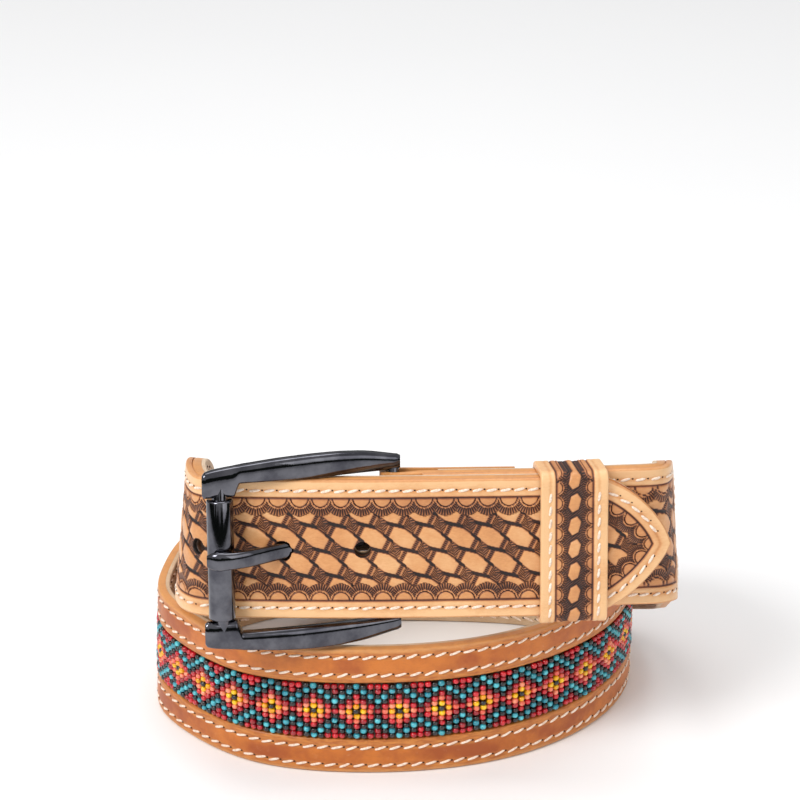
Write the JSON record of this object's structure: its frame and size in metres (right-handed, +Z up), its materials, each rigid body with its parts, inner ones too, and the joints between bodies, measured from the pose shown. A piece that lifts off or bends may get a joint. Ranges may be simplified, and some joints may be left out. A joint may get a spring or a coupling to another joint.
{
  "type": "western belt, fastened",
  "caption": "Tooled leather western belt with a beaded diamond inlay, fastened and standing on its edge in a coil.",
  "frame": {"origin": "centre of the belt's box on the surface that it stands on", "axes": "+X to the right along the buckled front, from the roller towards the billet tip; +Y from the buckled front to the back of the coil; +Z up"},
  "size_m": [0.1714, 0.1266, 0.108],
  "materials": {
    "saddle_leather": "smooth, lightly waxed",
    "tooled_leather": "basketweave tooled, antiqued dark brown in the recesses",
    "lining_leather": "plain, matt",
    "seed_beads": "gloss, opaque, in red, black, turquoise, yellow and peach",
    "dark_nickel": "polished black nickel"
  },
  "bodies": {
    "root": {"lining": "lining_leather", "body_leather": "saddle_leather", "bead_band": "seed_beads", "billet_overlay": "tooled_leather", "buckle_overlay": "tooled_leather", "keeper": "tooled_leather", "buckle_frame": "dark_nickel", "buckle_roller": "dark_nickel", "buckle_prong": "dark_nickel"}
  },
  "joints": []
}
